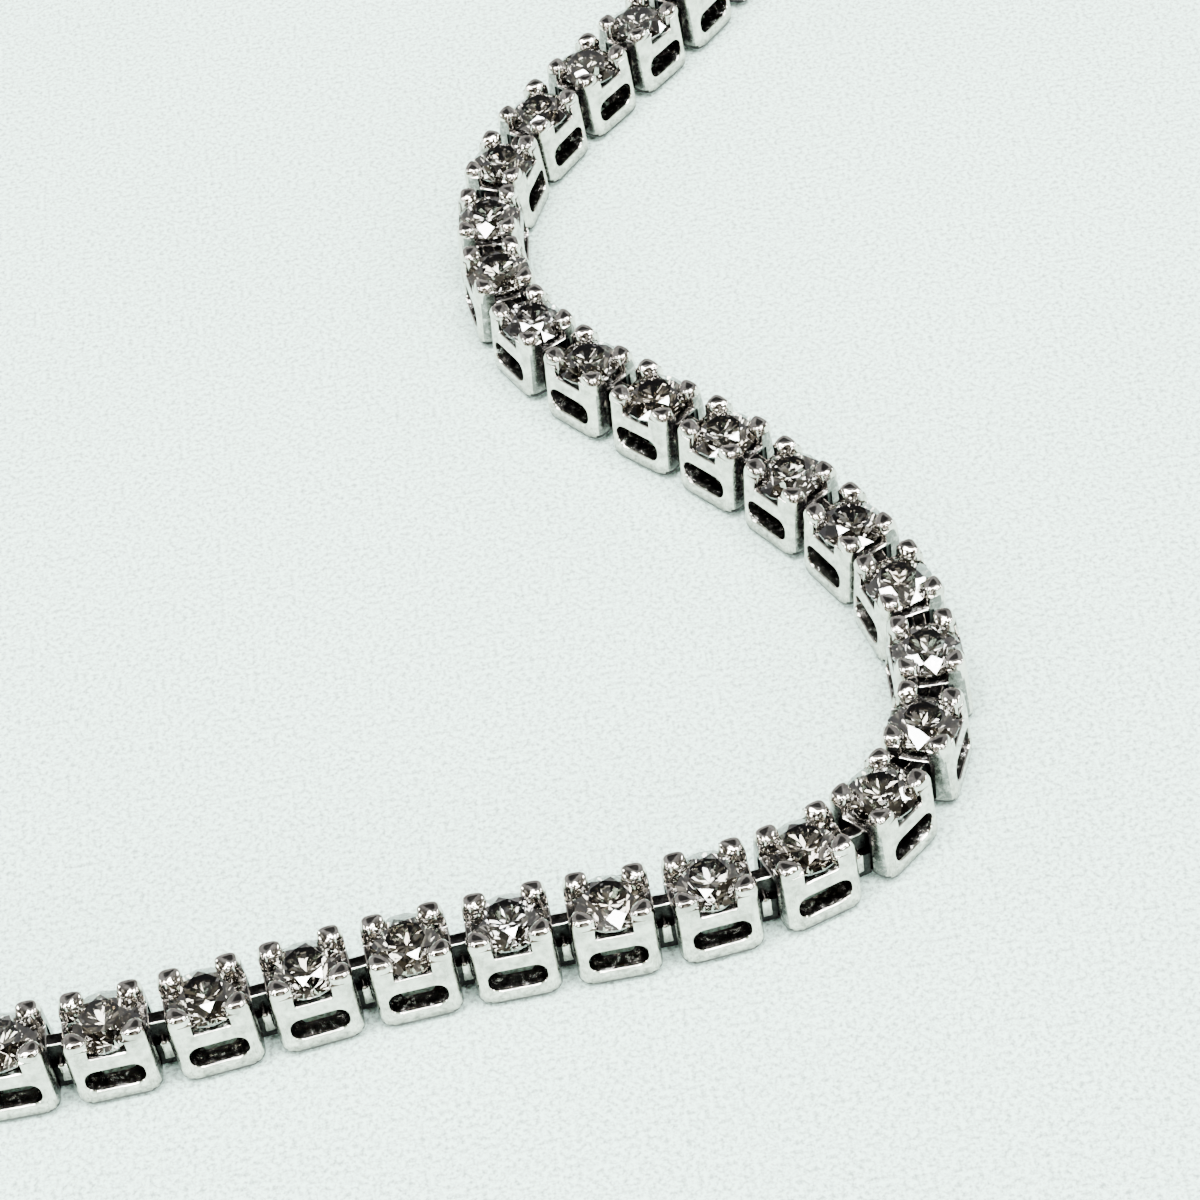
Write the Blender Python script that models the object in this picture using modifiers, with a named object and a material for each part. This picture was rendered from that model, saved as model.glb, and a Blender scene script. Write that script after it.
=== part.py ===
"""Tennis bracelet, lying on a flat surface in a loose closed loop.

A row of cast square settings runs round the loop. Each setting is a small hollow box with a slot
through it, four claws at its corners and a round brilliant seated between them, and a tongue on
its leading end reaches into the next setting. A plain box clasp closes the loop. The row is made
as two fused lengths that meet, because the settings are too many to be objects of their own.

Metres, +Z up. The underside of every setting is at z = 0 and the loop is centred on the origin.
"""

import math

import bmesh
import bpy
import numpy as np
from mathutils import Matrix, Vector

MM = 0.001

# Stone, a round brilliant
STONE_DIAMETER = 2.10 * MM
STONE_SIDES = 8
TABLE_SHARE = 0.58          # of the stone's diameter
GIRDLE_TURN = 0.5           # girdle corners against the table's, as a share of one side
CROWN_ANGLE = math.radians(35.0)
PAVILION_ANGLE = math.radians(41.0)
PAVILION_IN_SEAT = 0.14 * MM    # how far the modelled pavilion reaches into the metal

# Setting. Its length runs along the row and its depth across it.
END_RIM = 0.18 * MM         # metal beyond the stone, along the row
SIDE_RIM = 0.14 * MM        # metal beyond the stone, across the row
SETTING_LENGTH = STONE_DIAMETER + 2 * END_RIM
SETTING_DEPTH = STONE_DIAMETER + 2 * SIDE_RIM
CORNER = 0.30 * MM          # upright corners, cut back by this much
LINK_GAP = 0.44 * MM        # between one setting and the next on a straight run
PITCH = SETTING_LENGTH + LINK_GAP

# Heights of the setting, from the underside up
SLOT_RISE = 0.73 * MM
SLOT_HEIGHT = 0.87 * MM
SEAT_RAIL = 0.23 * MM       # metal between the slot and the seat
SLOT_TOP = SLOT_RISE + SLOT_HEIGHT
SEAT_HEIGHT = SLOT_TOP + SEAT_RAIL
GIRDLE_RISE = 0.32 * MM     # girdle above the seat
GIRDLE_HEIGHT = SEAT_HEIGHT + GIRDLE_RISE
END_WALL = 0.39 * MM        # from the slot's end to the setting's end
SLOT_END = 0.17 * MM        # run of the slot's rounded ends
SLOT_SHOULDER = 0.30        # height of each rounded corner, as a share of the slot's height

# Underside: a flat foot whose ends sweep up to the end walls
FOOT_RISE = 0.36 * MM
FOOT_PULL = 0.62 * MM
SIDE_PULL = 0.07 * MM
FOOT_CURVE = (               # height, end pull and side pull, as shares of the three sizes above
    (0.00, 1.00, 1.00),
    (0.28, 0.34, 0.20),
    (1.00, 0.00, 0.00),
)
WALL_TAPER = 0.03 * MM      # each wall leans in by this much at the seat

# Claws. Each faces its setting's cut corner and leans in until its tip is over the stone's edge.
CLAW_ROOT_WIDTH = 0.47 * MM
CLAW_ROOT_THICKNESS = 0.30 * MM
CLAW_TIP_WIDTH = 0.40 * MM
CLAW_TIP_THICKNESS = 0.36 * MM
CLAW_INSET = 0.05 * MM      # root in from the cut corner
CLAW_ROOT = 0.08 * MM       # below the seat, inside the metal
CLAW_RISE = 0.60 * MM       # claw tip above the girdle
CLAW_PAST_STONE = 0.01 * MM     # middle of the tip, out from the stone's edge

# Tongue and the pocket that takes it
TONGUE_THICKNESS = 0.72 * MM
TONGUE_HEIGHT = 0.95 * MM
TONGUE_GRIP = 0.21 * MM     # into the metal at each end
TONGUE_DROP = 0.02 * MM     # top of the tongue, below the top of the slot
POCKET_CLEARANCE = 0.12 * MM
FUSED_TONGUE = LINK_GAP + TONGUE_GRIP       # reach into the next setting of the same length
FREE_TONGUE = LINK_GAP + END_WALL / 2       # reach into the pocket of another piece

# Clasp, a plain box
CLASP_BODY_LENGTH = 8.00 * MM
CLASP_DEPTH = 2.90 * MM
CLASP_HEIGHT = 2.30 * MM
CLASP_BEVEL = 0.25 * MM
CLASP_POCKET_DEPTH = 0.90 * MM
CLASP_REACH = CLASP_BODY_LENGTH + LINK_GAP      # hinge to hinge

# The row
LINKS = 61
FRONT_LINKS = (LINKS + 1) // 2      # in the first length, the rest are in the second

# Chosen points of the closed route, in millimetres, from the clasp round the loop
ROUTE = (
    (-19.2, 9.2), (-20.8, -0.5), (-21.7, -10.0), (-21.5, -18.5), (-19.2, -25.2), (-15.0, -28.9),
    (-9.3, -29.6), (-3.6, -29.4), (2.1, -28.7), (7.9, -28.4), (13.4, -28.1), (16.5, -27.1),
    (18.8, -25.0), (19.9, -22.2), (19.9, -19.4), (19.2, -16.7), (17.9, -14.2), (14.6, -9.8),
    (10.8, -5.5), (9.4, -3.0), (8.9, -0.2), (9.1, 2.6), (10.1, 5.2), (11.9, 7.4),
    (16.0, 11.3), (19.6, 15.4), (21.5, 20.3), (20.1, 25.4), (15.7, 28.9), (8.4, 29.9),
    (-0.6, 28.8), (-8.8, 25.8), (-14.8, 20.1), (-17.7, 13.5),
)
SAMPLES = 60                # points of the smooth curve between two chosen points
SCALE_LIMITS = (0.3, 3.0)   # of the route, as it is fitted to the row's length
HALVINGS = 50               # of the range between those limits

METAL_COLOUR = (0.80, 0.80, 0.79, 1.0)
STONE_COLOUR = (0.62, 0.60, 0.56, 1.0)


def smooth_loop(points):
    """Points along the closed cubic spline through the given points."""
    here = np.array(points)
    following = np.roll(here, -1, axis=0)
    span = np.linalg.norm(following - here, axis=1)
    before = np.roll(span, 1)
    slope = (following - here) / span[:, None]
    count = len(here)
    system = np.zeros((count, count))
    for i in range(count):
        system[i, i - 1] += before[i]
        system[i, i] += 2 * (before[i] + span[i])
        system[i, (i + 1) % count] += span[i]
    bend = np.linalg.solve(system, 6 * (slope - np.roll(slope, 1, axis=0)))
    next_bend = np.roll(bend, -1, axis=0)
    curve = []
    for i in range(count):
        for step in range(SAMPLES):
            b = step / SAMPLES
            a = 1 - b
            lift = (a**3 - a) * bend[i] + (b**3 - b) * next_bend[i]
            curve.append(a * here[i] + b * following[i] + lift * span[i] ** 2 / 6)
    return np.array(curve)


def hinges_along(curve):
    """The row's hinges, one pitch apart along the curve, and whether they stay within one lap."""
    count = len(curve)
    at = 0
    hinges = [curve[0]]
    for _ in range(LINKS):
        here = hinges[-1]
        while np.linalg.norm(curve[(at + 1) % count] - here) < PITCH:
            at += 1
        start = curve[at % count]
        run = curve[(at + 1) % count] - start
        back = start - here
        a = run @ run
        b = 2 * back @ run
        c = back @ back - PITCH**2
        share = (-b + math.sqrt(b * b - 4 * a * c)) / (2 * a)
        hinges.append(start + share * run)
    return np.array(hinges), at < count


def closed_row():
    """Hinges of the row on the route, which is scaled until the clasp just closes the loop."""
    curve = smooth_loop(ROUTE) * MM
    low, high = SCALE_LIMITS
    for _ in range(HALVINGS):
        scale = (low + high) / 2
        hinges, within = hinges_along(curve * scale)
        if within and np.linalg.norm(hinges[-1] - hinges[0]) > CLASP_REACH:
            high = scale
        else:
            low = scale
    return hinges


def plan(half_length, half_depth):
    """A rectangle with its corners cut, anticlockwise from the leading end's near corner."""
    near_x, near_y = half_length - CORNER, half_depth - CORNER
    return [
        (half_length, -near_y), (half_length, near_y), (near_x, half_depth),
        (-near_x, half_depth), (-half_length, near_y), (-half_length, -near_y),
        (-near_x, -half_depth), (near_x, -half_depth),
    ]


def places():
    """Position and heading of each setting and of the clasp, with the whole loop centred."""
    hinges = closed_row()
    ends = list(zip(hinges[:-1], hinges[1:])) + [(hinges[-1], hinges[0])]
    outline = []
    found = []
    for i, (start, end) in enumerate(ends):
        heading = math.atan2(end[1] - start[1], end[0] - start[0])
        middle = (start + end) / 2
        if i < LINKS:
            shape = plan(SETTING_LENGTH / 2, SETTING_DEPTH / 2)
        else:
            shape = plan(CLASP_BODY_LENGTH / 2, CLASP_DEPTH / 2)
        turn = np.array(
            [[math.cos(heading), -math.sin(heading)], [math.sin(heading), math.cos(heading)]]
        )
        outline.append(np.array(shape) @ turn.T + middle)
        found.append((middle, heading))
    corners = np.concatenate(outline)
    centre = (corners.min(axis=0) + corners.max(axis=0)) / 2
    return [
        Matrix.Translation((*(middle - centre), 0)) @ Matrix.Rotation(heading, 4, "Z")
        for middle, heading in found
    ]


def ring(mesh, points, height):
    return [mesh.verts.new((x, y, height)) for x, y in points]


def loft(mesh, rings, slot=0):
    """Side faces between rings with the same number of points, and a cap at each end."""
    made = [mesh.faces.new(list(reversed(rings[0])))]
    for low, high in zip(rings[:-1], rings[1:]):
        count = len(low)
        for i in range(count):
            j = (i + 1) % count
            made.append(mesh.faces.new((low[i], low[j], high[j], high[i])))
    made.append(mesh.faces.new(rings[-1]))
    for face in made:
        face.material_index = slot


def box(mesh, low, high):
    """A plain box between two corners."""
    size = Vector(high) - Vector(low)
    middle = (Vector(high) + Vector(low)) / 2
    matrix = Matrix.Translation(middle) @ Matrix.Diagonal((*size, 1))
    bmesh.ops.create_cube(mesh, size=1, matrix=matrix)


def setting_block(mesh):
    """The setting's solid body, from the foot to the seat."""
    half_length, half_depth = SETTING_LENGTH / 2, SETTING_DEPTH / 2
    rings = [
        ring(
            mesh,
            plan(half_length - pull * FOOT_PULL, half_depth - side * SIDE_PULL),
            rise * FOOT_RISE,
        )
        for rise, pull, side in FOOT_CURVE
    ]
    top = plan(half_length - WALL_TAPER, half_depth - WALL_TAPER)
    rings.append(ring(mesh, top, SEAT_HEIGHT))
    loft(mesh, rings)


def claw(mesh, side_x, side_y):
    """One claw, from inside the metal at a cut corner to the tip over the stone's edge."""
    outward = Vector((side_x, side_y)) * math.sqrt(0.5)
    across = Vector((-outward.y, outward.x))
    corner = Vector(
        (
            side_x * (SETTING_LENGTH / 2 - WALL_TAPER - CORNER / 2),
            side_y * (SETTING_DEPTH / 2 - WALL_TAPER - CORNER / 2),
        )
    )
    root = corner - outward * (CLAW_INSET + CLAW_ROOT_THICKNESS / 2)
    tip = corner.normalized() * (STONE_DIAMETER / 2 + CLAW_PAST_STONE)
    levels = (
        (root, CLAW_ROOT_THICKNESS, CLAW_ROOT_WIDTH, SEAT_HEIGHT - CLAW_ROOT),
        (tip, CLAW_TIP_THICKNESS, CLAW_TIP_WIDTH, GIRDLE_HEIGHT + CLAW_RISE),
    )
    rings = []
    for middle, thickness, width, height in levels:
        out, side = outward * thickness / 2, across * width / 2
        corners = [middle - out - side, middle + out - side, middle + out + side]
        rings.append(ring(mesh, [*corners, middle - out + side], height))
    loft(mesh, rings)


def regular(radius, turn=0.0):
    """A regular polygon with the stone's number of sides, turned by a share of one side."""
    step = 2 * math.pi / STONE_SIDES
    return [
        (radius * math.cos((i + turn) * step), radius * math.sin((i + turn) * step))
        for i in range(STONE_SIDES)
    ]


def stone(mesh):
    """A brilliant down to the part of its pavilion that the metal hides."""
    radius = STONE_DIAMETER / 2
    table_radius = radius * TABLE_SHARE
    crown = (radius - table_radius) * math.tan(CROWN_ANGLE)
    low = SEAT_HEIGHT - PAVILION_IN_SEAT
    low_radius = radius - (GIRDLE_HEIGHT - low) / math.tan(PAVILION_ANGLE)
    cut = ring(mesh, regular(low_radius, GIRDLE_TURN), low)
    girdle = ring(mesh, regular(radius, GIRDLE_TURN), GIRDLE_HEIGHT)
    table = ring(mesh, regular(table_radius), GIRDLE_HEIGHT + crown)
    made = [mesh.faces.new(list(reversed(cut))), mesh.faces.new(table)]
    for i in range(STONE_SIDES):
        j = (i + 1) % STONE_SIDES
        made.append(mesh.faces.new((cut[i], cut[j], girdle[j], girdle[i])))
        made.append(mesh.faces.new((girdle[i], table[j], table[i])))
        made.append(mesh.faces.new((girdle[i], girdle[j], table[j])))
    for face in made:
        face.material_index = 1


def tongue(mesh, end_x, reach):
    """The bar on a leading end: from inside the metal, past the end at end_x, by reach."""
    top = SLOT_TOP - TONGUE_DROP
    half = TONGUE_THICKNESS / 2
    box(mesh, (end_x - TONGUE_GRIP, -half, top - TONGUE_HEIGHT), (end_x + reach, half, top))


def pocket(mesh, end_x, depth):
    """The cutter for the hole in a trailing end that takes a tongue with its clearance."""
    top = SLOT_TOP - TONGUE_DROP + POCKET_CLEARANCE
    half = TONGUE_THICKNESS / 2 + POCKET_CLEARANCE
    low = top - TONGUE_HEIGHT - 2 * POCKET_CLEARANCE
    box(mesh, (end_x - LINK_GAP, -half, low), (end_x + depth, half, top))


def slot_cutter(mesh):
    """The cutter for the slot with rounded ends, through the setting from front to back."""
    half = SETTING_LENGTH / 2 - END_WALL
    inner = half - SLOT_END
    low, high = SLOT_RISE, SLOT_TOP
    shoulder = SLOT_HEIGHT * SLOT_SHOULDER
    points = (
        (-inner, low), (inner, low), (half, low + shoulder), (half, high - shoulder),
        (inner, high), (-inner, high), (-half, high - shoulder), (-half, low + shoulder),
    )
    reach = SETTING_DEPTH
    near = [mesh.verts.new((x, -reach, z)) for x, z in points]
    far = [mesh.verts.new((x, reach, z)) for x, z in points]
    loft(mesh, [far, near])


def mesh_object(name, build, materials, collection):
    """A mesh object whose faces are built by the given function."""
    mesh = bmesh.new()
    build(mesh)
    data = bpy.data.meshes.new(name)
    mesh.to_mesh(data)
    mesh.free()
    for material in materials:
        data.materials.append(material)
    made = bpy.data.objects.new(name, data)
    collection.objects.link(made)
    return made


def boolean(target, other, operation):
    modifier = target.modifiers.new(operation.title() + " " + other.name, "BOOLEAN")
    modifier.operation = operation
    modifier.solver = "EXACT"
    modifier.object = other


def as_helper(helper):
    helper.hide_render = True
    helper.display_type = "WIRE"
    return helper


def evaluated_mesh(source):
    """A copy of the object's mesh with its modifiers applied."""
    bpy.context.view_layer.update()
    graph = bpy.context.evaluated_depsgraph_get()
    return bpy.data.meshes.new_from_object(source.evaluated_get(graph))


def setting_mesh(name, tongue_reach, with_pocket, materials, helpers):
    """One whole setting with its stone and tongue, and a pocket where it takes a free tongue."""
    block = as_helper(mesh_object(name, setting_block, materials, helpers))
    for side_x in (-1, 1):
        for side_y in (-1, 1):
            part = mesh_object(
                f"{name} claw {side_x} {side_y}",
                lambda mesh, x=side_x, y=side_y: claw(mesh, x, y),
                materials,
                helpers,
            )
            boolean(block, as_helper(part), "UNION")
    brilliant = mesh_object(f"{name} stone", stone, materials, helpers)
    boolean(block, as_helper(brilliant), "UNION")
    slot = mesh_object(f"{name} slot", slot_cutter, materials, helpers)
    boolean(block, as_helper(slot), "DIFFERENCE")
    if with_pocket:
        hole = mesh_object(
            f"{name} pocket",
            lambda mesh: pocket(mesh, -SETTING_LENGTH / 2, END_WALL + SLOT_END),
            materials,
            helpers,
        )
        boolean(block, as_helper(hole), "DIFFERENCE")
    bar = mesh_object(
        f"{name} tongue",
        lambda mesh: tongue(mesh, SETTING_LENGTH / 2, tongue_reach),
        materials,
        helpers,
    )
    boolean(block, as_helper(bar), "UNION")
    return evaluated_mesh(block)


def gathered(name, meshes, matrices, materials, collection):
    """One object that holds a copy of each mesh in its place."""
    mesh = bmesh.new()
    for data, matrix in zip(meshes, matrices):
        placed = data.copy()
        placed.transform(matrix)
        mesh.from_mesh(placed)
        bpy.data.meshes.remove(placed)
    data = bpy.data.meshes.new(name)
    mesh.to_mesh(data)
    mesh.free()
    for material in materials:
        data.materials.append(material)
    made = bpy.data.objects.new(name, data)
    collection.objects.link(made)
    return made


def link_row(name, matrices, kinds, materials, part, helpers):
    """A fused length of the row: every second setting is joined to the settings between them."""
    meshes = [kinds["first"]] + [kinds["middle"]] * (len(matrices) - 2) + [kinds["last"]]
    row = gathered(name, meshes[0::2], matrices[0::2], materials, part)
    between = gathered(f"{name} between", meshes[1::2], matrices[1::2], materials, helpers)
    boolean(row, as_helper(between), "UNION")
    return row


def clasp(matrix, materials, part, helpers):
    """The plain closed box, with a pocket on its trailing end and a tongue on its leading end."""
    half = CLASP_BODY_LENGTH / 2
    corners = ((-half, -CLASP_DEPTH / 2, 0), (half, CLASP_DEPTH / 2, CLASP_HEIGHT))
    body = mesh_object("clasp", lambda mesh: box(mesh, *corners), materials[:1], part)
    bevel = body.modifiers.new("Rounded edges", "BEVEL")
    bevel.width = CLASP_BEVEL
    bevel.segments = 2
    hole = mesh_object(
        "clasp pocket", lambda mesh: pocket(mesh, -half, CLASP_POCKET_DEPTH), materials, helpers
    )
    bar = mesh_object(
        "clasp tongue", lambda mesh: tongue(mesh, half, FREE_TONGUE), materials, helpers
    )
    boolean(body, as_helper(hole), "DIFFERENCE")
    boolean(body, as_helper(bar), "UNION")
    for piece in (body, hole, bar):
        piece.matrix_world = matrix
    return body


def principled(name, colour, metallic, roughness):
    material = bpy.data.materials.new(name)
    material.use_nodes = True
    material.diffuse_color = colour
    shader = material.node_tree.nodes["Principled BSDF"]
    shader.inputs["Base Color"].default_value = colour
    shader.inputs["Metallic"].default_value = metallic
    shader.inputs["Roughness"].default_value = roughness
    return material


def main():
    for old in list(bpy.data.objects):
        bpy.data.objects.remove(old)
    part = bpy.data.collections.new("Tennis bracelet")
    helpers = bpy.data.collections.new("Cutters and joined pieces")
    for collection in (part, helpers):
        bpy.context.scene.collection.children.link(collection)
    metal = principled("White gold", METAL_COLOUR, 1.0, 0.12)
    gem = principled("Brilliant", STONE_COLOUR, 0.0, 0.05)
    materials = [metal, gem]

    first = setting_mesh("first setting", FUSED_TONGUE, True, materials, helpers)
    middle = setting_mesh("middle setting", FUSED_TONGUE, False, materials, helpers)
    last = setting_mesh("last setting", FREE_TONGUE, False, materials, helpers)
    kinds = {"first": first, "middle": middle, "last": last}

    *rows, clasp_place = places()
    link_row("link_row_front", rows[:FRONT_LINKS], kinds, materials, part, helpers)
    link_row("link_row_back", rows[FRONT_LINKS:], kinds, materials, part, helpers)
    clasp(clasp_place, materials, part, helpers)


main()
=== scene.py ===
import math
import random

import bmesh
import bpy
import numpy as np
from mathutils import Euler, Matrix, Vector


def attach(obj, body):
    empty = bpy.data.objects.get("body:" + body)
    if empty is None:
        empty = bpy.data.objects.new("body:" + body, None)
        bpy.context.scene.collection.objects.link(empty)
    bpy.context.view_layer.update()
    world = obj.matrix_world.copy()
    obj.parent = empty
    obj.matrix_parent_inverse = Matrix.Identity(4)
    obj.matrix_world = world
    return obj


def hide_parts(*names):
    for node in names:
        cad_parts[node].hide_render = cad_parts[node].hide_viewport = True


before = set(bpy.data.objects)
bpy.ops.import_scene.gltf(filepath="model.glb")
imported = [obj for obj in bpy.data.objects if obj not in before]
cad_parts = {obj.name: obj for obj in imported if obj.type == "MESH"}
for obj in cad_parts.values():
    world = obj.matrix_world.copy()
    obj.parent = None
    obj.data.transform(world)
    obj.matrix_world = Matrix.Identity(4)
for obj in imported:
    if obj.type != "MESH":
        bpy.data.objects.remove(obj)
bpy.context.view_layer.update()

MM = 0.001
SEED = 11
chance = random.Random(SEED)

# The row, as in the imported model
STONE_DIAMETER = 2.10
SETTING_LENGTH = 2.46
SETTING_DEPTH = 2.38
CORNER = 0.30
LINK_GAP = 0.44
PITCH = SETTING_LENGTH + LINK_GAP
CLASP_BODY_LENGTH = 8.00
CLASP_DEPTH = 2.90
CLASP_HEIGHT = 2.30
CLASP_REACH = CLASP_BODY_LENGTH + LINK_GAP
LINKS = 61
FRONT_LINKS = 31
ROUTE = (
    (-19.2, 9.2), (-20.8, -0.5), (-21.7, -10.0), (-21.5, -18.5), (-19.2, -25.2), (-15.0, -28.9),
    (-9.3, -29.6), (-3.6, -29.4), (2.1, -28.7), (7.9, -28.4), (13.4, -28.1), (16.5, -27.1),
    (18.8, -25.0), (19.9, -22.2), (19.9, -19.4), (19.2, -16.7), (17.9, -14.2), (14.6, -9.8),
    (10.8, -5.5), (9.4, -3.0), (8.9, -0.2), (9.1, 2.6), (10.1, 5.2), (11.9, 7.4),
    (16.0, 11.3), (19.6, 15.4), (21.5, 20.3), (20.1, 25.4), (15.7, 28.9), (8.4, 29.9),
    (-0.6, 28.8), (-8.8, 25.8), (-14.8, 20.1), (-17.7, 13.5),
)
SAMPLES = 60
SCALE_LIMITS = (0.3, 3.0)
HALVINGS = 50

# Polished metal and three metals painted dark as shade, as places in the list of metals
POLISHED, RECESS, JOINT, END = range(4)

# A setting's outer form, with its walls as height and inset
HALF_LENGTH = SETTING_LENGTH / 2
HALF_DEPTH = SETTING_DEPTH / 2
CORNER_RADIUS = 0.34
CORNER_STEPS = 5
FOOT_RISE = 0.40
FOOT_POWER = 2.6
FOOT_STEPS = 11
FOOT_START = math.radians(10)
FOOT_ROUND = 0.24
FOOT_CORNER_SHARE = 0.8
LEAN = 0.0725
LEAN_FROM = 0.60
WALL_LEVELS = (
    (0.60, 0.0), (1.20, 0.003), (1.80, 0.006), (2.30, 0.01), (2.46, 0.012), (2.485, 0.018),
    (2.50, 0.032), (2.53, 0.10),
)
RIM_CORNER_SHARE = 0.5
# Faces turned further down than this are painted dark as shade under the foot
UNDERSIDE_NORMAL = -0.06
# Faces turned towards the ends more than this are painted grey as shade in the gap
END_NORMAL = 0.85

# What is cut out of it: the notches, the slots, the hollow and its opening, and the stone's seat.
# The hollow is given as height, half length and half depth, and the seat as height and radius.
NOTCH_HALF, NOTCH_FLOOR = 0.54, 2.06
END_NOTCH_HALF, END_NOTCH_FLOOR = 0.44, 2.05
NOTCH_TOP = 3.2
NOTCH_RADIUS = 0.06
SLOT_HALF = 0.84
SLOT_LOW, SLOT_HIGH = 0.72, 1.53
SLOT_RADIUS = 0.34
SLOT_SAG = 0.035
FLARE_DEPTH = 0.045
FLARE_REACH = 0.20
FLARE_SLOPE = 0.45
# Cut faces within this reach and below this height are painted dark as shade
DARK_REACH, DARK_TOP = 1.0, 2.15
HOLLOW = ((0.42, 0.80, 0.70), (1.62, 0.84, 0.74))
FOOT_OPENING = ((-0.2, 0.50, 0.42), (0.6, 0.50, 0.42))
HOLLOW_RADIUS = 0.16
SEAT = (
    (1.18, 0.10), (1.69, 0.55), (1.93, 0.80), (2.06, 0.94), (2.165, 1.065), (2.26, 1.07),
    (2.59, 0.59), (2.67, 0.30),
)
SEAT_POINTS = 40

# Claws: middle of the plan, reach outward and inward, and the levels of the post and the cap as
# height, share of the outward reach and share of the inward reach
CLAW_MIDDLE = (0.86, 0.735)
CLAW_OUT = (0.345, 0.295)
CLAW_IN = (0.38, 0.36)
CLAW_FULLNESS = (0.60, 0.85)
CLAW_PLAN_POWER = 2.6
CLAW_POINTS = 32
CLAW_POST = ((1.98, 1.02, 1.0), (2.14, 1.01, 1.0))
CLAW_TIP = (
    (2.53, 1.00, 1.00), (2.58, 0.91, 0.99), (2.625, 0.83, 0.975), (2.66, 0.765, 0.955),
    (2.69, 0.70, 0.92), (2.712, 0.63, 0.87), (2.728, 0.54, 0.79), (2.741, 0.41, 0.66),
    (2.751, 0.27, 0.46), (2.757, 0.12, 0.22),
)
TIP_FROM = -0.05
TIP_CURVE = 1.55
TIP_BEND = 0.035
BEND_FROM, BEND_OVER = 2.15, 0.35
CLAW_QUARTER = 0.3

# Joint between two settings: the face and the pocket sunk in the ends, painted dark as shade, then
# the block, the neck, the knuckle and the pin that fill the gap, with the block and the neck painted
# dark as shade. The pin's ring is given as how far past its end and radius.
CUT_PAST = 0.30
FACE_DEPTH = 0.05
FACE_HALF = 0.60
FACE_LOW, FACE_HIGH = 0.40, 1.97
FACE_BEVEL = 0.03
POCKET_DEPTH = 0.28
POCKET_HALF = 0.46
POCKET_LOW, POCKET_HIGH = 0.16, 1.95
JOINT_HOLD = 0.20
JOINT_BEVEL = 0.04
BEVEL_SEGMENTS = 2
BLOCK_HALF = 0.20
BLOCK_LOW, BLOCK_HIGH = 1.24, 1.96
BLOCK_EDGE = (1.925, 1.958)
NECK_HALF = 0.36
NECK_LOW, NECK_HIGH = 0.20, 1.12
KNUCKLE_HALF = 0.40
KNUCKLE_LOW, KNUCKLE_HIGH = 0.44, 1.20
KNUCKLE_BEFORE, KNUCKLE_AFTER = 0.11, 0.18
PIN_HALF = KNUCKLE_HALF + 0.05
PIN_HEIGHT = 1.26
PIN_RING = ((-0.05, 0.045), (0.0, 0.055), (0.01, 0.08), (-0.01, 0.10))
PIN_POINTS = 16

# Clasp
CLASP_ROUND = 0.36
CLASP_STEPS = 6
CLASP_POINTS = 64
CLASP_POWER = 5.0

# Stone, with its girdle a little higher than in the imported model
GIRDLE_HEIGHT = 2.22
GIRDLE_HALF = 0.03
TABLE_SHARE = 0.54
CROWN_ANGLE = math.radians(34.5)
PAVILION_ANGLE = math.radians(43.0)
STAR_SHARE = 0.5
LOWER_SHARE = 0.77
MAIN_FACETS = 8
GIRDLE_FACETS = 2 * MAIN_FACETS
STONE_WOBBLE = 3.5

# Shading of the metal pieces
SHARP_ANGLE = math.radians(35)
FACE_WEIGHT = 80

# Tones, each with its place in the noise that it follows
METAL_TONES = ((0.36, (0.40, 0.375, 0.34)), (0.62, (0.79, 0.75, 0.68)))
SATIN_TONES = ((0.35, (0.55, 0.54, 0.51)), (0.62, (0.80, 0.785, 0.745)))
SATIN_WEAR = ((0.35, (0.78, 0.78, 0.78)), (0.6, (1.0, 1.0, 1.0)))
STONE_TONES = ((0.38, (0.50, 0.44, 0.34)), (0.50, (0.66, 0.66, 0.58)), (0.66, (0.88, 0.88, 0.87)))
FLOOR_TONES = ((0.3, (0.70, 0.955, 0.84)), (0.7, (0.74, 1.0, 0.885)))
FLOOR_SPECKS = ((0.36, (0.38, 0.38, 0.38)), (0.555, (1.0, 1.0, 1.0)))
NEAR_TONES = (
    (0.40, (0.012, 0.011, 0.010)), (0.48, (0.055, 0.044, 0.03)), (0.55, (0.34, 0.315, 0.25)),
    (0.62, (1.0, 0.98, 0.93)),
)

# Height and brightness at both ends of the painted shade on the settings' feet, darker towards the
# floor
PAINTED_FOOT_SHADE = ((0.05 * MM, 0.13), (0.66 * MM, 1.0))
BRUSH_WIDTH = 0.03
DIAMOND_IOR = 2.417

# Metal painted dark as shade in hollows, joints and end faces, over a real cast grain: name, three
# tones, range of roughness, strength of relief
PAINTED_SHADE_METALS = (
    (
        "painted shade inside",
        ((0.43, (0.02, 0.019, 0.017)), (0.56, (0.06, 0.056, 0.05)), (0.62, (0.60, 0.59, 0.57))),
        (0.12, 0.30), 0.50,
    ),
    (
        "painted shade in joints",
        ((0.43, (0.005, 0.0048, 0.0045)), (0.56, (0.012, 0.0115, 0.011)), (0.62, (0.03, 0.029, 0.027))),
        (0.20, 0.40), 0.30,
    ),
    (
        "painted shade on end faces",
        ((0.43, (0.14, 0.138, 0.13)), (0.56, (0.24, 0.236, 0.22)), (0.62, (0.42, 0.41, 0.385))),
        (0.20, 0.34), 0.15,
    ),
)

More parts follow.
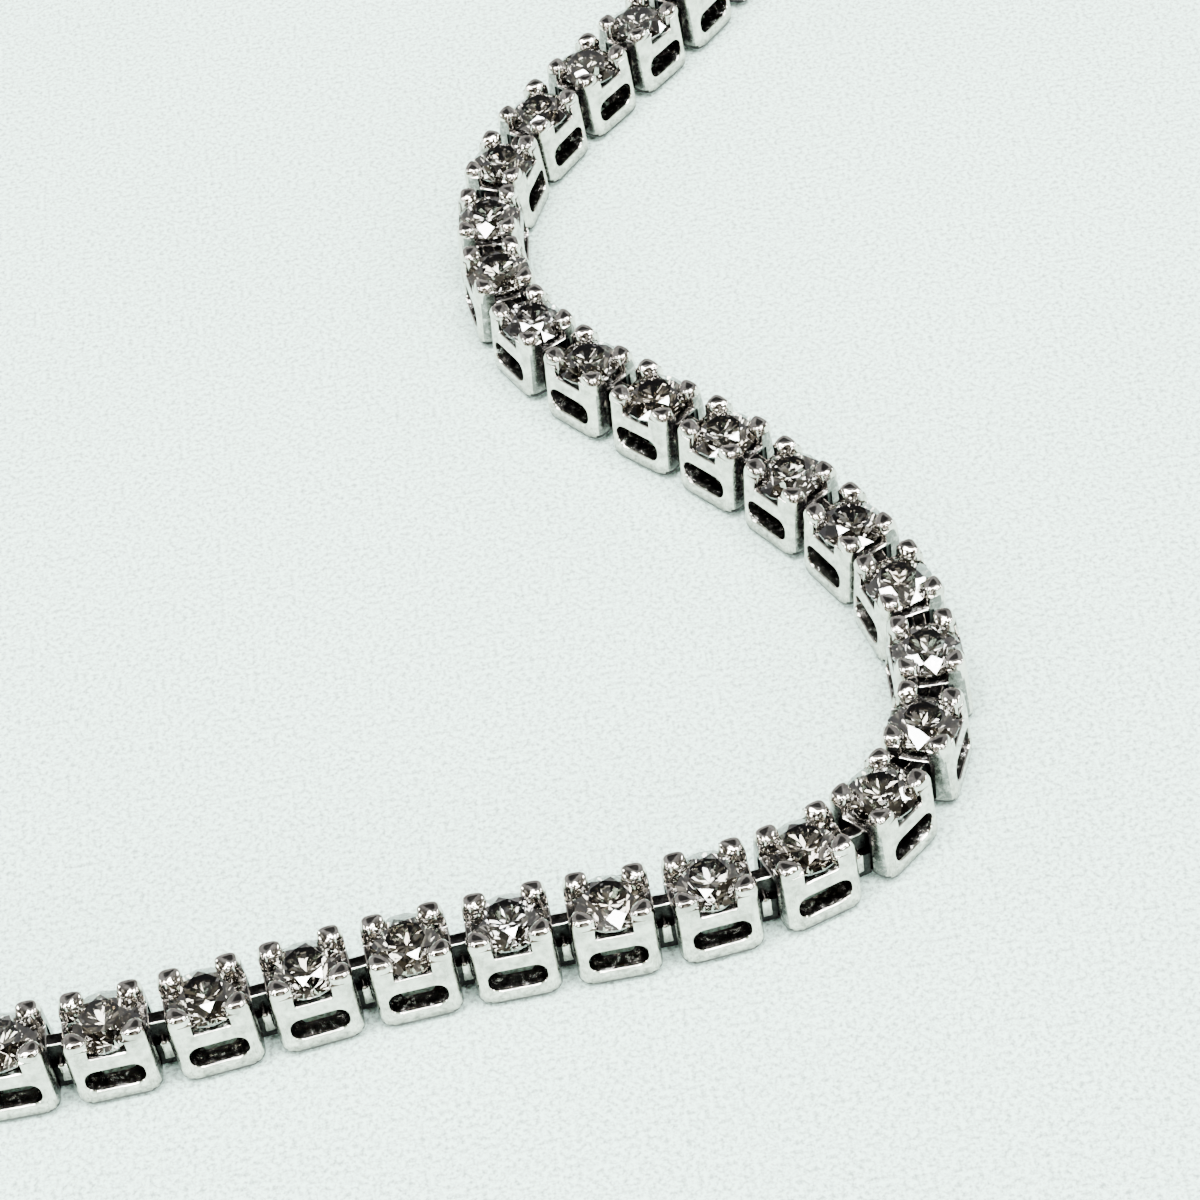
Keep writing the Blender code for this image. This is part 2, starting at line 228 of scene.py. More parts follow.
# Studio: sizes and directions in degrees, with azimuth 90 away from the camera
FLOOR_HALF = 3.0
LIGHT_DISTANCE = 1.2
STRIP_DIRECTION, STRIP_SIZE, STRIP_RADIANCE = (270, 85), (62, 2.6), 105
SOFTBOX_SIZE, SOFTBOX_RADIANCE = (8.5, 8.5), 78
SOFTBOXES = (
    (22, 73), (158, 73), (322, 73), (214, 73), (346, 62), (196, 62), (302, 57), (234, 66),
    (325, 45), (214, 45), (322, 29), (218, 29), (15, 29), (165, 29), (300, 20), (250, 20),
    (354, 12), (186, 12),
)
LIT_SHARE = {"RECTANGLE": 1.0, "ELLIPSE": math.pi / 4}
FAR_GREY, DOORWAY_GREY = 0.48, 0.06
FAR_TINT = (0.97, 0.98, 1.0)
FAR_FROM = 0.4
DOORWAY_ELEVATION = math.radians(50)
DOORWAY_EDGE, DOORWAY_CORE = math.radians(19), math.radians(10)

# Camera at the photograph's angle
CAMERA_PLACE = (10.797, -84.146, 75.05)
CAMERA_TILT = math.radians(90 - 47.34)
CAMERA_ROLL = math.radians(-9.73)
SENSOR_WIDTH = 36.0
LENS = 97.295
CLIP_START = 0.002


def smooth_loop(points):
    """Points along the closed cubic spline through the given points."""
    here = np.array(points)
    following = np.roll(here, -1, axis=0)
    span = np.linalg.norm(following - here, axis=1)
    before = np.roll(span, 1)
    slope = (following - here) / span[:, None]
    count = len(here)
    system = np.zeros((count, count))
    for i in range(count):
        system[i, i - 1] += before[i]
        system[i, i] += 2 * (before[i] + span[i])
        system[i, (i + 1) % count] += span[i]
    bend = np.linalg.solve(system, 6 * (slope - np.roll(slope, 1, axis=0)))
    next_bend = np.roll(bend, -1, axis=0)
    curve = []
    for i in range(count):
        for step in range(SAMPLES):
            b = step / SAMPLES
            a = 1 - b
            lift = (a**3 - a) * bend[i] + (b**3 - b) * next_bend[i]
            curve.append(a * here[i] + b * following[i] + lift * span[i] ** 2 / 6)
    return np.array(curve)


def hinges_along(curve):
    """The row's hinges, one pitch apart along the curve, and whether they stay within one lap."""
    count = len(curve)
    at = 0
    hinges = [curve[0]]
    for _ in range(LINKS):
        here = hinges[-1]
        while np.linalg.norm(curve[(at + 1) % count] - here) < PITCH:
            at += 1
        start = curve[at % count]
        run = curve[(at + 1) % count] - start
        back = start - here
        a = run @ run
        b = 2 * back @ run
        c = back @ back - PITCH**2
        share = (-b + math.sqrt(b * b - 4 * a * c)) / (2 * a)
        hinges.append(start + share * run)
    return np.array(hinges), at < count


def closed_row():
    """Hinges of the row on the route, which is scaled until the clasp just closes the loop."""
    curve = smooth_loop(ROUTE)
    low, high = SCALE_LIMITS
    for _ in range(HALVINGS):
        scale = (low + high) / 2
        hinges, within = hinges_along(curve * scale)
        if within and np.linalg.norm(hinges[-1] - hinges[0]) > CLASP_REACH:
            high = scale
        else:
            low = scale
    return hinges


def plan(half_length, half_depth):
    """A rectangle with its corners cut."""
    near_x, near_y = half_length - CORNER, half_depth - CORNER
    return [
        (half_length, -near_y), (half_length, near_y), (near_x, half_depth),
        (-near_x, half_depth), (-half_length, near_y), (-half_length, -near_y),
        (-near_x, -half_depth), (near_x, -half_depth),
    ]


def places():
    """Matrix of each setting and of the clasp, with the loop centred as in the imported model."""
    hinges = closed_row()
    ends = list(zip(hinges[:-1], hinges[1:])) + [(hinges[-1], hinges[0])]
    outline = []
    found = []
    for i, (start, end) in enumerate(ends):
        heading = math.atan2(end[1] - start[1], end[0] - start[0])
        middle = (start + end) / 2
        if i < LINKS:
            shape = plan(HALF_LENGTH, HALF_DEPTH)
        else:
            shape = plan(CLASP_BODY_LENGTH / 2, CLASP_DEPTH / 2)
        turn = np.array(
            [[math.cos(heading), -math.sin(heading)], [math.sin(heading), math.cos(heading)]]
        )
        outline.append(np.array(shape) @ turn.T + middle)
        found.append((middle, heading))
    corners = np.concatenate(outline)
    centre = (corners.min(axis=0) + corners.max(axis=0)) / 2
    return [
        Matrix.Translation((*(middle - centre), 0)) @ Matrix.Rotation(heading, 4, "Z")
        for middle, heading in found
    ]


class Nodes:
    """A short way to add nodes to a material or a world."""

    def __init__(self, owner, shader):
        owner.use_nodes = True
        self.owner = owner
        self.tree = owner.node_tree
        self.shader = self.tree.nodes[shader]

    def add(self, kind, inputs=(), **settings):
        """A node with its settings, and its inputs linked or set."""
        node = self.tree.nodes.new(kind)
        for key, value in settings.items():
            setattr(node, key, value)
        for key, value in dict(inputs).items():
            if isinstance(value, bpy.types.NodeSocket):
                self.tree.links.new(value, node.inputs[key])
            else:
                node.inputs[key].default_value = value
        return node

    def link(self, output, name):
        self.tree.links.new(output, self.shader.inputs[name])

    def coordinates(self, kind):
        return self.add("ShaderNodeTexCoord").outputs[kind]

    def part(self, vector, axis):
        return self.add("ShaderNodeSeparateXYZ", {"Vector": vector}).outputs[axis]

    def noise(self, vector, scale, detail, roughness=0.5):
        inputs = {"Vector": vector, "Scale": scale, "Detail": detail, "Roughness": roughness}
        return self.add("ShaderNodeTexNoise", inputs).outputs["Fac"]

    def ramp(self, value, stops):
        """The value as a colour, with stops given as (place, colour)."""
        node = self.add("ShaderNodeValToRGB", {"Fac": value})
        elements = node.color_ramp.elements
        while len(elements) < len(stops):
            elements.new(0.5)
        for element, (place, colour) in zip(elements, stops):
            element.position = place
            element.color = (*colour, 1)
        return node.outputs["Color"]

    def fit(self, value, low, high, smooth=False):
        """The value with one range brought to another, each end given as (from, to)."""
        node = self.add("ShaderNodeMapRange", {
            "Value": value,
            "From Min": low[0], "From Max": high[0],
            "To Min": low[1], "To Max": high[1],
        })
        if smooth:
            node.interpolation_type = "SMOOTHSTEP"
        return node.outputs["Result"]

    def number(self, operation, one, other):
        return self.add("ShaderNodeMath", {0: one, 1: other}, operation=operation).outputs[0]

    def vector(self, operation, one, other):
        return self.add("ShaderNodeVectorMath", {0: one, 1: other}, operation=operation).outputs[0]

    def scaled(self, vector, scale):
        inputs = {0: vector, "Scale": scale}
        return self.add("ShaderNodeVectorMath", inputs, operation="SCALE").outputs[0]

    def bump(self, height, strength, distance):
        inputs = {"Height": height, "Strength": strength, "Distance": distance}
        self.link(self.add("ShaderNodeBump", inputs).outputs["Normal"], "Normal")


def new_material(name):
    return Nodes(bpy.data.materials.new(name), "Principled BSDF")


def metal_material():
    """Polished metal with faint waves, a fine grain, a clouded tone and painted shade towards the foot.
    """
    n = new_material("polished white gold")
    place = n.coordinates("Object")
    waves = n.noise(place, scale=900.0, detail=2.0)
    grain = n.noise(place, scale=9000.0, detail=3.0, roughness=0.6)
    cloud = n.noise(place, scale=2600.0, detail=4.0, roughness=0.65)
    # Painted shade: the base colour darkens towards the floor, for the shade at the foot
    foot = n.fit(n.part(place, "Z"), *PAINTED_FOOT_SHADE, smooth=True)
    n.link(n.scaled(n.ramp(cloud, METAL_TONES), foot), "Base Color")
    n.shader.inputs["Metallic"].default_value = 1.0
    n.link(n.fit(grain, (0.0, 0.05), (1.0, 0.11)), "Roughness")
    n.bump(n.number("ADD", waves, grain), strength=0.05, distance=0.00004)
    return n.owner


def painted_shade_metal(name, tones, roughness, relief):
    """Metal painted dark as shade, in three tones, over a cast grain."""
    n = new_material(name)
    grain = n.noise(n.coordinates("Object"), scale=4500.0, detail=4.0, roughness=0.7)
    smoothest, roughest = roughness
    n.link(n.ramp(grain, tones), "Base Color")
    n.shader.inputs["Metallic"].default_value = 1.0
    n.link(n.fit(grain, (0.0, smoothest), (1.0, roughest)), "Roughness")
    n.bump(grain, strength=relief, distance=0.00005)
    return n.owner


def satin_material(heading):
    """Metal with a fine brushed grain along a heading."""
    n = new_material("satin white gold")
    place = n.coordinates("Object")
    along = n.add("ShaderNodeMapping", {
        "Vector": place,
        "Rotation": (0.0, 0.0, heading),
        "Scale": (1.0, BRUSH_WIDTH, BRUSH_WIDTH),
    }, vector_type="TEXTURE")
    brush = n.noise(along.outputs["Vector"], scale=400.0, detail=4.0, roughness=0.6)
    wear = n.ramp(n.noise(place, scale=900.0, detail=3.0), SATIN_WEAR)
    n.link(n.vector("MULTIPLY", n.ramp(brush, SATIN_TONES), wear), "Base Color")
    n.shader.inputs["Metallic"].default_value = 1.0
    n.link(n.fit(brush, (0.3, 0.17), (0.7, 0.30)), "Roughness")
    n.bump(brush, strength=0.10, distance=0.00003)
    return n.owner


def stone_material():
    """Clear stone with a faint tint that changes along the row."""
    n = new_material("brilliant")
    tint = n.noise(n.coordinates("Object"), scale=700.0, detail=2.0)
    n.link(n.ramp(tint, STONE_TONES), "Base Color")
    n.shader.inputs["Roughness"].default_value = 0.0
    n.shader.inputs["IOR"].default_value = DIAMOND_IOR
    n.shader.inputs["Transmission Weight"].default_value = 1.0
    return n.owner


def floor_material():
    """A pale surface with a fine grain of specks."""
    n = new_material("pale grained surface")
    place = n.coordinates("Object")
    broad = n.noise(place, scale=60.0, detail=3.0)
    fine = n.noise(place, scale=6500.0, detail=5.0, roughness=0.7)
    colour = n.vector("MULTIPLY", n.ramp(broad, FLOOR_TONES), n.ramp(fine, FLOOR_SPECKS))
    n.link(colour, "Base Color")
    n.shader.inputs["Roughness"].default_value = 0.75
    n.shader.inputs["Specular IOR Level"].default_value = 0.2
    n.bump(fine, strength=0.5, distance=0.0002)
    return n.owner


# The polished metal first, then the metals painted dark as shade
metals = [metal_material(), *(painted_shade_metal(*look) for look in PAINTED_SHADE_METALS)]


def linked(name, mesh, materials):
    """A new object in the scene with what the mesh builder holds, which is then freed."""
    data = bpy.data.meshes.new(name)
    mesh.to_mesh(data)
    mesh.free()
    for material in materials:
        data.materials.append(material)
    made = bpy.data.objects.new(name, data)
    bpy.context.scene.collection.objects.link(made)
    return made


def solid(name, build, finish=POLISHED):
    """A helper object built by the function. Its finish or painted shade is a number, or a rule for a
    face.
    """
    mesh = bmesh.new()
    build(mesh)
    bmesh.ops.recalc_face_normals(mesh, faces=mesh.faces)
    for face in mesh.faces:
        face.material_index = finish(face) if callable(finish) else finish
    return linked(name, mesh, metals)


def cut(name, build, finish=POLISHED):
    return ("DIFFERENCE", solid(name, build, finish))


def joined(name, build, finish=POLISHED):
    return ("UNION", solid(name, build, finish))


def combine(base, steps):
    """The mesh of the base after each (operation, helper) step, with the helpers removed."""
    for operation, helper in steps:
        modifier = base.modifiers.new(helper.name, "BOOLEAN")
        modifier.operation = operation
        modifier.solver = "EXACT"
        modifier.object = helper
    bpy.context.view_layer.update()
    graph = bpy.context.evaluated_depsgraph_get()
    data = bpy.data.meshes.new_from_object(base.evaluated_get(graph))
    for helper in [base, *(helper for _, helper in steps)]:
        bpy.data.objects.remove(helper)
    return data


def rounded_rectangle(half_x, half_y, radius):
    """Points round a rectangle with round corners."""
    points = []
    for quarter, (side_x, side_y) in enumerate(((1, 1), (-1, 1), (-1, -1), (1, -1))):
        for step in range(CORNER_STEPS + 1):
            angle = math.pi / 2 * (quarter + step / CORNER_STEPS)
            x = side_x * (half_x - radius) + radius * math.cos(angle)
            y = side_y * (half_y - radius) + radius * math.sin(angle)
            points.append((x, y))
    return points


def circle(radius, count):
    """Points round a circle."""
    angles = [2 * math.pi * i / count for i in range(count)]
    return [(radius * math.cos(angle), radius * math.sin(angle)) for angle in angles]


def level(mesh, points, height):
    return [mesh.verts.new((x, y, height)) for x, y in points]


def loft(mesh, rings):
    """Faces between rings with the same number of points, with a cap at each end."""
    for low, high in zip(rings[:-1], rings[1:]):
        for i in range(len(low)):
            j = (i + 1) % len(low)
            mesh.faces.new((low[i], low[j], high[j], high[i]))
    mesh.faces.new(list(reversed(rings[0])))
    mesh.faces.new(rings[-1])


def upright(outlines):
    """A builder for a solid from a list of (height, outline)."""
    def build(mesh):
        loft(mesh, [level(mesh, points, height) for height, points in outlines])
    return build


def hollow(levels):
    """A builder for a hollow from its levels."""
    return upright([
        (height, rounded_rectangle(half_x, half_y, HOLLOW_RADIUS))
        for height, half_x, half_y in levels
    ])


def bar(low, high, bevel):
    """A builder for a block between two corners, with a bevel on its edges if it isn't 0."""
    def build(mesh):
        size = Vector(high) - Vector(low)
        middle = (Vector(high) + Vector(low)) / 2
        matrix = Matrix.Translation(middle) @ Matrix.Diagonal((*size, 1))
        bmesh.ops.create_cube(mesh, size=1, matrix=matrix)
        if bevel:
            bmesh.ops.bevel(
                mesh, geom=list(mesh.edges), offset=bevel, segments=BEVEL_SEGMENTS,
                profile=0.5, affect="EDGES",
            )
    return build


def wall(height):
    """How far out the side walls stand at that height: they lean in a little."""
    return HALF_DEPTH - LEAN * (height - LEAN_FROM)


def end_wall(height):
    """How far out the ends stand: they are upright."""
    return HALF_LENGTH


def flared(half, low, high, radius, face, sag=0.0, endways=False):
    """A builder for a cutter through two opposite walls that opens out at each face."""
    middle, rise = (low + high) / 2, (high - low) / 2
    crossings = ((-1, FLARE_REACH), (-1, -FLARE_DEPTH), (1, -FLARE_DEPTH), (1, FLARE_REACH))

    def build(mesh):
        rings = []
        for side, offset in crossings:
            grow = (offset + FLARE_DEPTH) * FLARE_SLOPE
            ring = []
            for across, up in rounded_rectangle(half + grow, rise + grow, radius + grow / 2):
                drop = sag * max(1 - (across / half) ** 2, 0.0) if up < 0 else 0.0
                z = middle + up - drop
                out = side * (face(z) + offset)
                ring.append(mesh.verts.new((out, across, z) if endways else (across, out, z)))
            rings.append(ring)
        loft(mesh, rings)
    return build


def cut_finish(face):
    """Painted shade between the walls, and polished at a cut's flared edges and up a notch's sides."""
    middle = face.calc_center_median()
    inside = max(abs(middle.x), abs(middle.y)) < DARK_REACH
    return RECESS if inside and middle.z < DARK_TOP else POLISHED


def body_finish(face):
    """Painted shade underneath, for the dark line where the foot meets the floor, grey painted shade at
    the ends and polished at the sides.
    """
    if face.normal.z < UNDERSIDE_NORMAL:
        return JOINT
    return END if abs(face.normal.x) > END_NORMAL else POLISHED


def block_finish(face):
    """Painted shade but for the bevel round the top."""
    low, high = BLOCK_EDGE
    return POLISHED if low < face.calc_center_median().z < high else JOINT


def body(mesh):
    """The setting's outer form: a convex foot, walls that lean in, and a sloping rim."""
    power = 2 / FOOT_POWER
    rings = []
    for i in range(FOOT_STEPS):
        angle = FOOT_START + (math.pi / 2 - FOOT_START) * i / (FOOT_STEPS - 1)
        half_x = HALF_LENGTH * math.sin(angle) ** power
        height = FOOT_RISE * (math.cos(FOOT_START) ** power - max(math.cos(angle), 0.0) ** power)
        below = max(FOOT_ROUND - height, 0.0)
        inset = FOOT_ROUND - math.sqrt(FOOT_ROUND**2 - below**2)
        radius = min(CORNER_RADIUS, half_x * FOOT_CORNER_SHARE)
        rings.append(level(mesh, rounded_rectangle(half_x, HALF_DEPTH - inset, radius), height))
    for height, inset in WALL_LEVELS:
        radius = CORNER_RADIUS - inset * RIM_CORNER_SHARE
        outline = rounded_rectangle(HALF_LENGTH - inset, wall(height) - inset, radius)
        rings.append(level(mesh, outline, height))
    loft(mesh, rings)


def claw_reach(axis, value, outward, inward):
    """How far a claw goes along an axis, on the outer side where the value is above 0."""
    if value > 0:
        return CLAW_OUT[axis] * outward ** CLAW_FULLNESS[axis]
    return CLAW_IN[axis] * inward


def claw_builder(side_x, side_y):
    """A builder for one corner post with a low cap and a tip that slopes down over the stone."""
    away = Vector(CLAW_MIDDLE).normalized()
    power = 2 / CLAW_PLAN_POWER

    def ring_at(mesh, height, outward, inward, curve):
        ring = []
        for k in range(CLAW_POINTS):
            angle = 2 * math.pi * k / CLAW_POINTS
            x, y = [
                claw_reach(axis, value, outward, inward) * math.copysign(abs(value) ** power, value)
                for axis, value in enumerate((math.cos(angle), math.sin(angle)))
            ]
            drop = curve * max(TIP_FROM - Vector((x, y)).dot(away), 0.0) ** 2
            place = (side_x * (CLAW_MIDDLE[0] + x), side_y * (CLAW_MIDDLE[1] + y), height - drop)
            ring.append(mesh.verts.new(place))
        return ring

    def build(mesh):
        post = [ring_at(mesh, *step, 0.0) for step in CLAW_POST]
        tip = [ring_at(mesh, *step, TIP_CURVE) for step in CLAW_TIP]
        loft(mesh, post + tip)
    return build


def pin_builder(x):
    """A builder for the joint's pin, across the row, with a ring at each end round a small hollow."""
    near = [(-PIN_HALF - past, radius) for past, radius in PIN_RING]
    far = [(PIN_HALF + past, radius) for past, radius in reversed(PIN_RING)]

    def build(mesh):
        rings = []
        for y, radius in near + far:
            points = circle(radius, PIN_POINTS)
            rings.append([mesh.verts.new((x + dx, y, PIN_HEIGHT + dz)) for dx, dz in points])
        loft(mesh, rings)
    return build


def joint_recesses(end):
    """Steps that sink a face in both ends and a pocket in the first one, painted dark as shade."""
    steps = []
    for side in (-1, 1):
        near, far = sorted((side * (end - FACE_DEPTH), side * (end + CUT_PAST)))
        face = bar((near, -FACE_HALF, FACE_LOW), (far, FACE_HALF, FACE_HIGH), FACE_BEVEL)
        steps.append(cut(f"joint face {side}", face, JOINT))
    pocket = bar(
        (-end - CUT_PAST, -POCKET_HALF, POCKET_LOW),
        (-end + POCKET_DEPTH, POCKET_HALF, POCKET_HIGH),
        0,
    )
    return [*steps, cut("pocket", pocket, JOINT)]


def joint_parts(end):
    """Steps that add what fills the gap, from that end to inside the next pocket."""
    start, stop = end - JOINT_HOLD, end + LINK_GAP + JOINT_HOLD
    middle = end + LINK_GAP / 2
    block = bar((start, -BLOCK_HALF, BLOCK_LOW), (stop, BLOCK_HALF, BLOCK_HIGH), JOINT_BEVEL)
    neck = bar((start, -NECK_HALF, NECK_LOW), (stop, NECK_HALF, NECK_HIGH), 0)
    knuckle = bar(
        (middle - KNUCKLE_BEFORE, -KNUCKLE_HALF, KNUCKLE_LOW),
        (middle + KNUCKLE_AFTER, KNUCKLE_HALF, KNUCKLE_HIGH),
        JOINT_BEVEL,
    )
    return [
        # The block and the neck are painted dark as shade in the gap; the knuckle and the pin stay
        # polished
        joined("block", block, block_finish),
        joined("neck", neck, JOINT),
        joined("knuckle", knuckle),
        joined("pin", pin_builder(middle)),
    ]


def setting_mesh():
    """One setting: its hollow body with slots and notches, its claws, seat and joint."""
    slot = flared(SLOT_HALF, SLOT_LOW, SLOT_HIGH, SLOT_RADIUS, wall, SLOT_SAG)
    side_notch = flared(NOTCH_HALF, NOTCH_FLOOR, NOTCH_TOP, NOTCH_RADIUS, wall)
    end_notch = flared(
        END_NOTCH_HALF, END_NOTCH_FLOOR, NOTCH_TOP, NOTCH_RADIUS, end_wall, endways=True
    )
    seat = upright([(height, circle(radius, SEAT_POINTS)) for height, radius in SEAT])
    claws = [
        joined(f"claw {side_x} {side_y}", claw_builder(side_x, side_y))
        for side_x in (-1, 1)
        for side_y in (-1, 1)
    ]
    return combine(solid("setting", body, body_finish), [
        # The hollow and the foot opening are painted dark as shade
        cut("hollow", hollow(HOLLOW), RECESS),
        cut("foot opening", hollow(FOOT_OPENING), RECESS),
        cut("slot", slot, cut_finish),
        cut("side notch", side_notch, cut_finish),
        cut("end notch", end_notch, cut_finish),
        *joint_recesses(HALF_LENGTH),
        *claws,
        cut("seat", seat),
        *joint_parts(HALF_LENGTH),
    ])


def clasp_mesh():
    """A plain closed box with softly rounded edges."""
    half = CLASP_BODY_LENGTH / 2
    rise = CLASP_HEIGHT / 2
    power = 2 / CLASP_POWER

    def ring_at(mesh, x, shrink):
        ring = []
        for k in range(CLASP_POINTS):
            turn = 2 * math.pi * k / CLASP_POINTS
            c, s = math.cos(turn), math.sin(turn)
            y = (CLASP_DEPTH / 2 - shrink) * math.copysign(abs(c) ** power, c)
            z = (rise - shrink) * math.copysign(abs(s) ** power, s)
            ring.append(mesh.verts.new((x, y, rise + z)))
        return ring

    def build(mesh):
        rings = []
        for side in (-1, 1):
            for i in range(CLASP_STEPS + 1):
                angle = math.pi / 2 * i / CLASP_STEPS
                angle = angle if side < 0 else math.pi / 2 - angle
                x = side * (half - CLASP_ROUND * (1 - math.cos(angle)))
                rings.append(ring_at(mesh, x, CLASP_ROUND * (1 - math.sin(angle))))
        loft(mesh, rings)

    return combine(solid("clasp", build), joint_recesses(half) + joint_parts(half))


def brilliant_mesh():
    """A round brilliant with its table, crown, girdle and pavilion facets."""
    radius = STONE_DIAMETER / 2
    step = 2 * math.pi / GIRDLE_FACETS
    table_radius = radius * TABLE_SHARE
    table_edge = table_radius * math.cos(step)
    star_radius = table_edge + STAR_SHARE * (radius - table_edge)
    low_radius = (1 - LOWER_SHARE) * radius
    crown, pavilion = math.tan(CROWN_ANGLE), math.tan(PAVILION_ANGLE)
    table_height = GIRDLE_HALF + (radius - table_radius) * crown
    star_height = GIRDLE_HALF + (radius - star_radius * math.cos(step)) * crown
    low_height = -GIRDLE_HALF - (radius - low_radius * math.cos(step)) * pavilion
    culet_height = -GIRDLE_HALF - radius * pavilion
    mesh = bmesh.new()

    def at(r, steps, height):
        angle = steps * step
        return mesh.verts.new((r * math.cos(angle), r * math.sin(angle), GIRDLE_HEIGHT + height))

    table = [at(table_radius, 2 * k, table_height) for k in range(MAIN_FACETS)]
    star = [at(star_radius, 2 * k + 1, star_height) for k in range(MAIN_FACETS)]
    top = [at(radius, k, GIRDLE_HALF) for k in range(GIRDLE_FACETS)]
    under = [at(radius, k, -GIRDLE_HALF) for k in range(GIRDLE_FACETS)]
    low = [at(low_radius, 2 * k + 1, low_height) for k in range(MAIN_FACETS)]
    culet = mesh.verts.new((0, 0, GIRDLE_HEIGHT + culet_height))
    mesh.faces.new(table)
    for k in range(MAIN_FACETS):
        after = (k + 1) % MAIN_FACETS
        main, half, following = 2 * k, 2 * k + 1, (2 * k + 2) % GIRDLE_FACETS
        mesh.faces.new((table[k], star[k], table[after]))
        mesh.faces.new((table[k], star[k - 1], top[main], star[k]))
        mesh.faces.new((star[k], top[main], top[half]))
        mesh.faces.new((star[k], top[half], top[following]))
        mesh.faces.new((culet, low[k], under[main], low[k - 1]))
        mesh.faces.new((low[k], under[half], under[main]))
        mesh.faces.new((low[k], under[following], under[half]))
    for k in range(GIRDLE_FACETS):
        after = (k + 1) % GIRDLE_FACETS
        mesh.faces.new((top[k], under[k], under[after], top[after]))
    bmesh.ops.recalc_face_normals(mesh, faces=mesh.faces)
    data = bpy.data.meshes.new("brilliant")
    mesh.to_mesh(data)
    mesh.free()
    return data


def hand_made(points):
    """The points with each claw's tip pushed a little its own way."""
    share = np.clip((points[:, 2] - BEND_FROM) / BEND_OVER, 0, 1) ** 2
    moved = points.copy()
    for side_x in (-1, 1):
        for side_y in (-1, 1):
            push = np.array([chance.uniform(-TIP_BEND, TIP_BEND) for _ in range(3)])
            push[2] = -abs(push[2])
            own_x = points[:, 0] * side_x > CLAW_QUARTER
            own_y = points[:, 1] * side_y > CLAW_QUARTER
            moved += np.outer(share * (own_x & own_y), push)
    return moved


def wobbled(matrix):
    """The place with a small random turn about its own axes, at the height of the stone."""
    lift = Matrix.Translation((0, 0, GIRDLE_HEIGHT))
    small = [math.radians(chance.uniform(-STONE_WOBBLE, STONE_WOBBLE)) for _ in range(3)]
    return matrix @ lift @ Euler(small).to_matrix().to_4x4() @ lift.inverted()


def turned(matrix):
    """The place with a random turn of the stone in its seat."""
    return matrix @ Matrix.Rotation(chance.uniform(0, math.pi / 4), 4, "Z")


def gathered(name, source, matrices, materials, vary=None):
    """One object with a copy of the mesh at each matrix, changed by vary where it is given."""
    count = len(source.vertices)
    points = np.empty(count * 3)
    source.vertices.foreach_get("co", points)
    points = points.reshape(-1, 3)
    mesh = bmesh.new()
    for matrix in matrices:
        placed = source.copy()
        own = vary(points) if vary else points
        moved = (np.c_[own, np.ones(count)] @ np.array(matrix).T)[:, :3] * MM
        placed.vertices.foreach_set("co", moved.ravel())
        mesh.from_mesh(placed)
        bpy.data.meshes.remove(placed)
    return linked(name, mesh, materials)


def finish_shading(piece):
    """Smooth shading that keeps edges sharp and flat faces flat."""
    data = piece.data
    data.polygons.foreach_set("use_smooth", [True] * len(data.polygons))
    data.set_sharp_from_angle(angle=SHARP_ANGLE)
    modifier = piece.modifiers.new("flat faces stay flat", "WEIGHTED_NORMAL")
    modifier.keep_sharp = True
    modifier.weight = FACE_WEIGHT


def softbox(name, direction, size, radiance, shape="ELLIPSE"):
    """A soft light in a direction of (azimuth, elevation), with its (width, height) as seen."""
    turn, rise = (math.radians(angle) for angle in direction)
    place = LIGHT_DISTANCE * Vector(
        (math.cos(rise) * math.cos(turn), math.cos(rise) * math.sin(turn), math.sin(rise))
    )
    width, height = (2 * LIGHT_DISTANCE * math.tan(math.radians(side) / 2) for side in size)
    data = bpy.data.lights.new(name, "AREA")
    data.shape = shape
    data.size, data.size_y = width, height
    data.energy = radiance * math.pi * width * height * LIT_SHARE[shape]
    light = bpy.data.objects.new(name, data)
    light.location = place
    light.rotation_euler = (-place).to_track_quat("-Z", "Y").to_euler()
    bpy.context.scene.collection.objects.link(light)


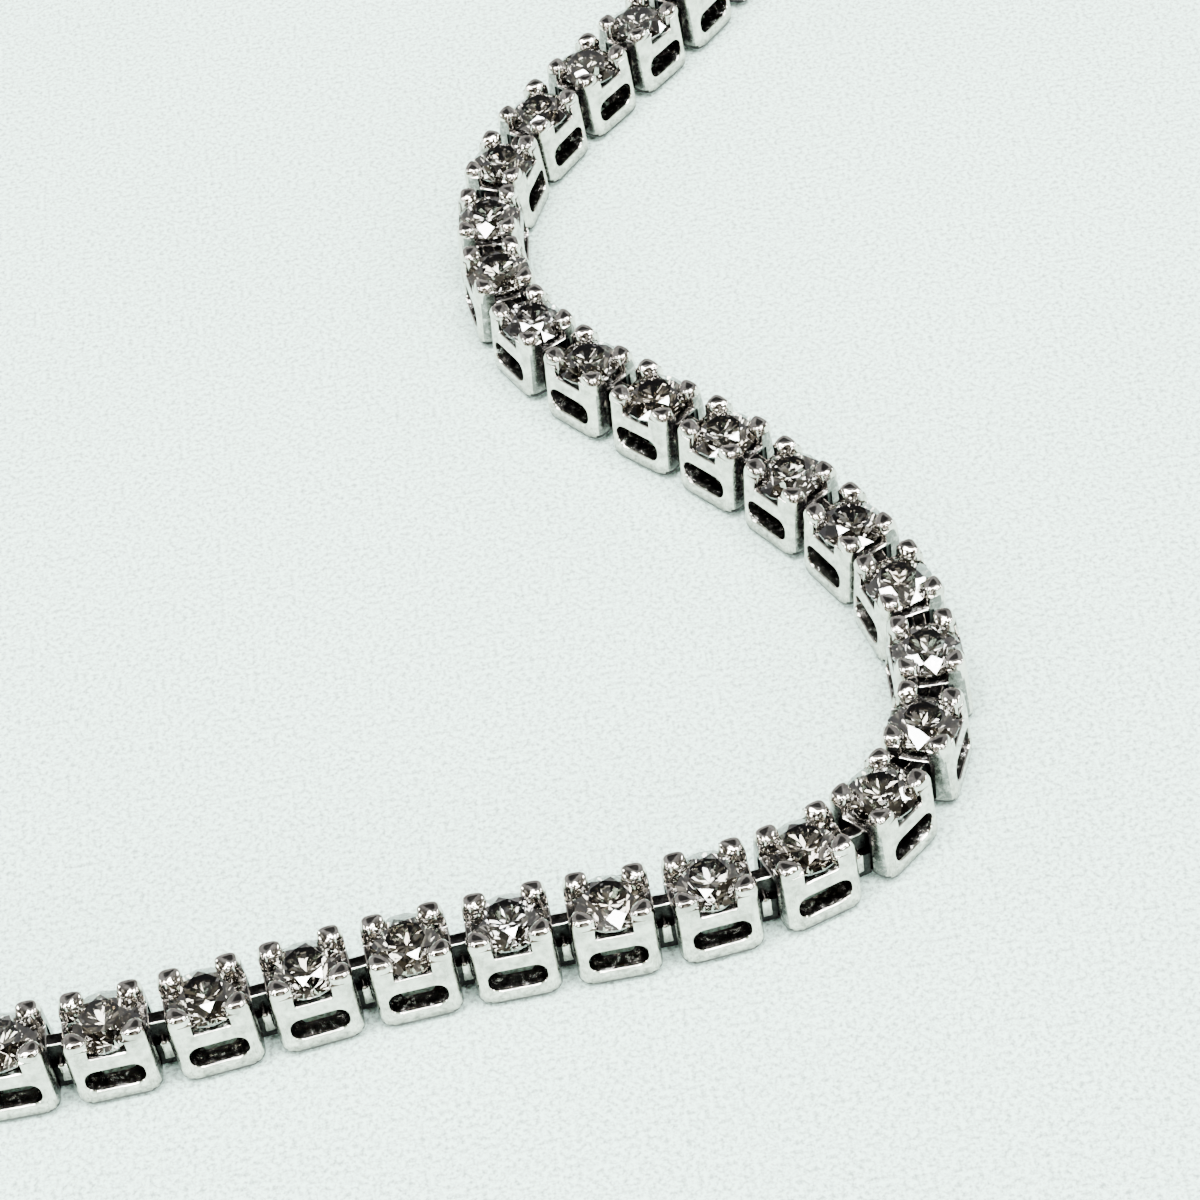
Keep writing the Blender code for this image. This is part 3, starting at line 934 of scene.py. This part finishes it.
def studio_world():
    """The room: grey beyond the object but for a dark doorway, and dim and patchy this side."""
    world = bpy.data.worlds.new("studio")
    n = Nodes(world, "Background")
    direction = n.coordinates("Generated")
    doorway = (0.0, math.cos(DOORWAY_ELEVATION), math.sin(DOORWAY_ELEVATION))
    inputs = {0: direction, 1: doorway}
    towards = n.add("ShaderNodeVectorMath", inputs, operation="DOT_PRODUCT").outputs["Value"]
    edge, core = math.cos(DOORWAY_EDGE), math.cos(DOORWAY_CORE)
    far = n.fit(towards, (edge, FAR_GREY), (core, DOORWAY_GREY), smooth=True)
    near = n.ramp(n.noise(direction, scale=4.0, detail=2.0), NEAR_TONES)
    side = n.part(direction, "Y")
    near_share = n.fit(side, (0.0, 1.0), (FAR_FROM, 0.0))
    far_share = n.fit(side, (0.0, 0.0), (FAR_FROM, 1.0))
    near_light = n.scaled(near, near_share)
    far_light = n.scaled(FAR_TINT, n.number("MULTIPLY", far, far_share))
    n.link(n.vector("ADD", near_light, far_light), "Color")
    return world


gem = stone_material()
*row, clasp_place = places()
setting = setting_mesh()
brilliant = brilliant_mesh()
stone_places = [turned(wobbled(place)) for place in row]
for name, node, chosen in (
    ("front", "link_row_front", slice(0, FRONT_LINKS)),
    ("back", "link_row_back", slice(FRONT_LINKS, LINKS)),
):
    settings = gathered(f"settings_{name}", setting, row[chosen], metals, hand_made)
    finish_shading(settings)
    stones = gathered(f"stones_{name}", brilliant, stone_places[chosen], [gem])
    for piece, slot_name in ((settings, "white_gold"), (stones, "brilliant")):
        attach(piece, "root")
        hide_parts(node)

satin = satin_material(clasp_place.to_euler().z)
clasp = gathered("clasp_box", clasp_mesh(), [clasp_place], [satin, *metals[1:]])
finish_shading(clasp)
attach(clasp, "root")
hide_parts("clasp")

floor_mesh = bmesh.new()
bmesh.ops.create_grid(floor_mesh, x_segments=1, y_segments=1, size=FLOOR_HALF)
floor = linked("floor", floor_mesh, [floor_material()])

softbox("overhead strip", STRIP_DIRECTION, STRIP_SIZE, STRIP_RADIANCE, "RECTANGLE")
for direction in SOFTBOXES:
    azimuth, elevation = direction
    softbox(f"softbox {azimuth} {elevation}", direction, SOFTBOX_SIZE, SOFTBOX_RADIANCE)
bpy.context.scene.world = studio_world()

camera_data = bpy.data.cameras.new("camera")
camera_data.sensor_fit = "HORIZONTAL"
camera_data.sensor_width = SENSOR_WIDTH
camera_data.lens = LENS
camera_data.clip_start = CLIP_START
camera = bpy.data.objects.new("camera", camera_data)
camera.location = [value * MM for value in CAMERA_PLACE]
camera.matrix_world = (
    Matrix.Translation(camera.location)
    @ Matrix.Rotation(CAMERA_TILT, 4, "X")
    @ Matrix.Rotation(CAMERA_ROLL, 4, "Z")
)
bpy.context.scene.collection.objects.link(camera)
bpy.context.scene.camera = camera
